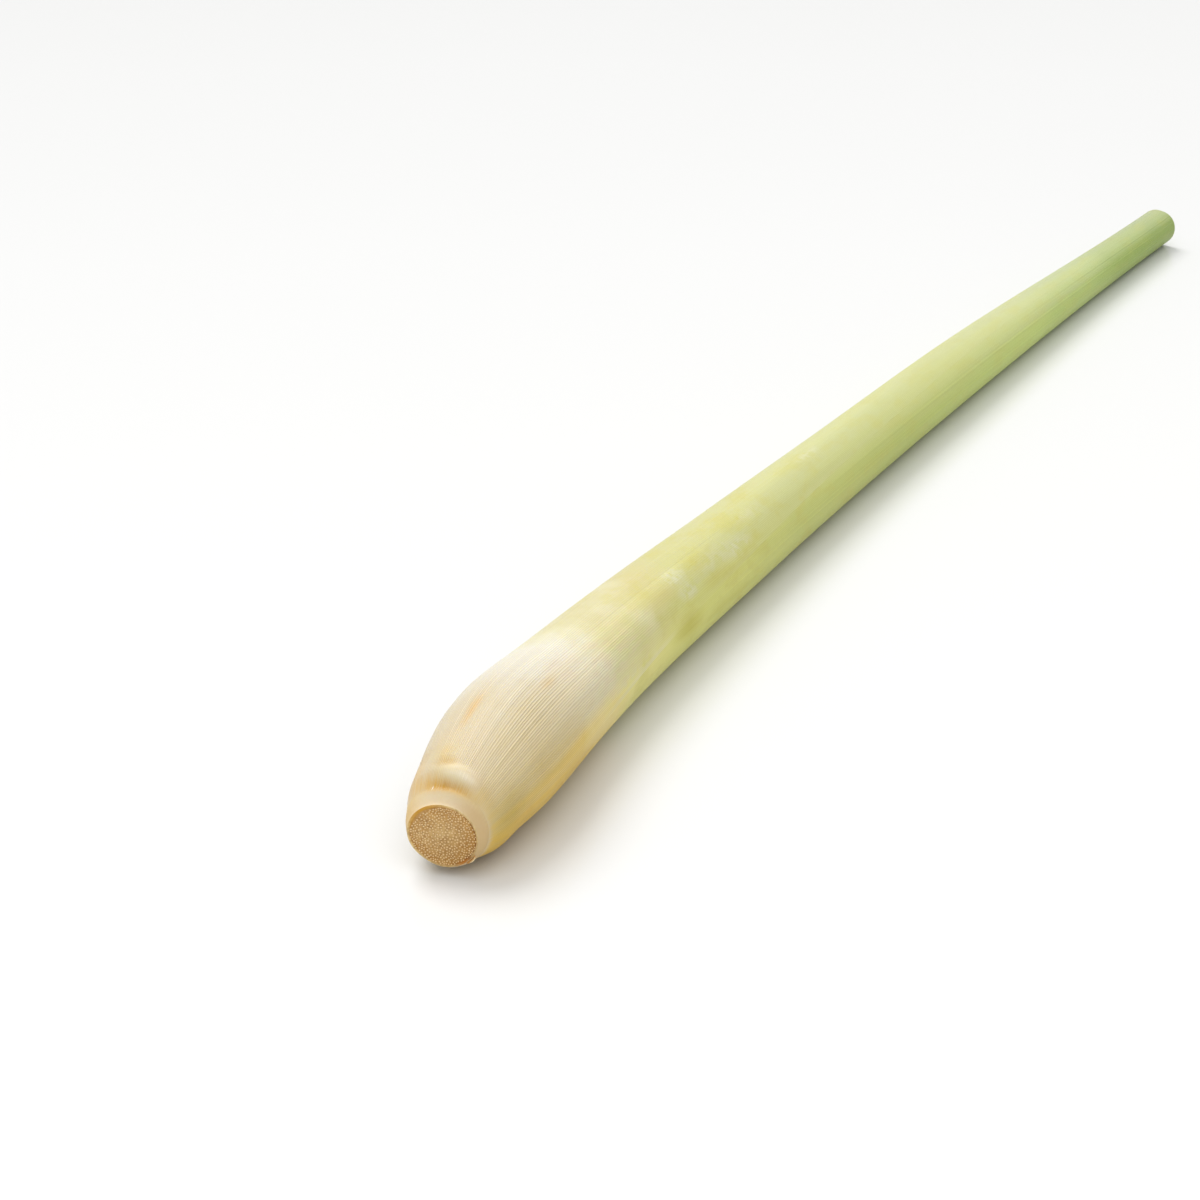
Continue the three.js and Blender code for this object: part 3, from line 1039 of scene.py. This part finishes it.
class LEMONGRASS_OT_inner_leaves(bpy.types.Operator):
    """Add the sheaths inside the outer one"""
    bl_idname = "lemongrass.inner_leaves"
    bl_label = "Inner leaves"

    def execute(self, context):
        root_code = context.scene.lemongrass.inner_root_colour
        flesh = leaf_flesh("lemongrass_leaf_flesh", root_code, "#bccb80")
        for index, layer in enumerate(LEAVES[1:], start=1):
            wound_leaf(layer, index)
            finish_piece(layer["name"], flesh, layer["node"])
        return {"FINISHED"}


class LEMONGRASS_OT_heart_leaf(bpy.types.Operator):
    """Add the rolled heart leaf"""
    bl_idname = "lemongrass.heart_leaf"
    bl_label = "Heart leaf"

    def execute(self, context):
        heart_roll()
        flesh = leaf_flesh("lemongrass_heart_flesh", "#e8dfa4", "#b3c86e")
        finish_piece("heart_roll", flesh, "heart_leaf")
        return {"FINISHED"}


class LEMONGRASS_OT_stage(bpy.types.Operator):
    """Add the floor, the lights and the camera"""
    bl_idname = "lemongrass.stage"
    bl_label = "Floor, lights and camera"

    def execute(self, context):
        add_floor(context.scene.lemongrass)
        add_lights()
        add_camera()
        return {"FINISHED"}


def add_floor(settings):
    begin()
    bpy.ops.mesh.primitive_plane_add(size=settings.floor_width)
    floor = bpy.context.object
    floor.name = "floor"
    floor.data.materials.append(polished_floor(tuple(settings.floor_colour)))


# Broad soft lights: name, direction they come from, strength, width in degrees
SOFT_LIGHTS = [
    ("key_light", (0.35, 0.7, 1.25), 2.0, 34),
    ("overhead_light", (-0.4, -0.3, 1.3), 1.4, 70),
]
SURROUND_STRENGTH = 0.5


def add_lights():
    """A broad soft key from the upper left and behind, one overhead, and a pale surround."""
    for name, towards, strength, width in SOFT_LIGHTS:
        begin()
        bpy.ops.object.light_add(type="SUN")
        light = bpy.context.object
        light.name = name
        light.data.energy = strength
        light.data.angle = math.radians(width)
        light.rotation_mode = "QUATERNION"
        light.rotation_quaternion = Vector(towards).to_track_quat("Z", "Y")
    world = bpy.data.worlds.new("pale_surround")
    world.use_nodes = True
    background = world.node_tree.nodes["Background"]
    background.inputs["Color"].default_value = (1.0, 1.0, 1.0, 1.0)
    background.inputs["Strength"].default_value = SURROUND_STRENGTH
    bpy.context.scene.world = world
    bpy.context.scene.view_settings.view_transform = "Standard"


def add_camera():
    begin()
    place = Vector(CAMERA_PLACE) * MM
    aim = Vector(CAMERA_AIM) * MM
    bpy.ops.object.camera_add(location=place)
    camera = bpy.context.object
    camera.name = "photo_camera"
    camera.data.lens = CAMERA_LENS
    camera.data.sensor_width = 36.0
    camera.data.clip_start = 0.01
    camera.rotation_mode = "QUATERNION"
    camera.rotation_quaternion = (aim - place).to_track_quat("-Z", "Y")
    bpy.context.scene.camera = camera


class LEMONGRASS_PT_panel(bpy.types.Panel):
    bl_idname = "LEMONGRASS_PT_panel"
    bl_label = "Lemongrass stalk"
    bl_space_type = "VIEW_3D"
    bl_region_type = "UI"
    bl_category = "Lemongrass"

    def draw(self, context):
        settings = context.scene.lemongrass
        for name in LemongrassSettings.__annotations__:
            self.layout.prop(settings, name)
        for operator in OPERATORS:
            self.layout.operator(operator.bl_idname)


OPERATORS = (
    LEMONGRASS_OT_stem,
    LEMONGRASS_OT_vein_ends,
    LEMONGRASS_OT_skin_flap,
    LEMONGRASS_OT_outer_leaf,
    LEMONGRASS_OT_inner_leaves,
    LEMONGRASS_OT_heart_leaf,
    LEMONGRASS_OT_stage,
)


def register():
    bpy.utils.register_class(LemongrassSettings)
    for operator in OPERATORS:
        bpy.utils.register_class(operator)
    bpy.utils.register_class(LEMONGRASS_PT_panel)
    bpy.types.Scene.lemongrass = bpy.props.PointerProperty(type=LemongrassSettings)


def unregister():
    del bpy.types.Scene.lemongrass
    bpy.utils.unregister_class(LEMONGRASS_PT_panel)
    for operator in reversed(OPERATORS):
        bpy.utils.unregister_class(operator)
    bpy.utils.unregister_class(LemongrassSettings)


def main():
    register()
    bpy.ops.lemongrass.stem()
    bpy.ops.lemongrass.vein_ends()
    bpy.ops.lemongrass.skin_flap()
    bpy.ops.lemongrass.outer_leaf()
    bpy.ops.lemongrass.inner_leaves()
    bpy.ops.lemongrass.heart_leaf()
    bpy.ops.lemongrass.stage()
    begin()


if __name__ == "__main__":
    main()
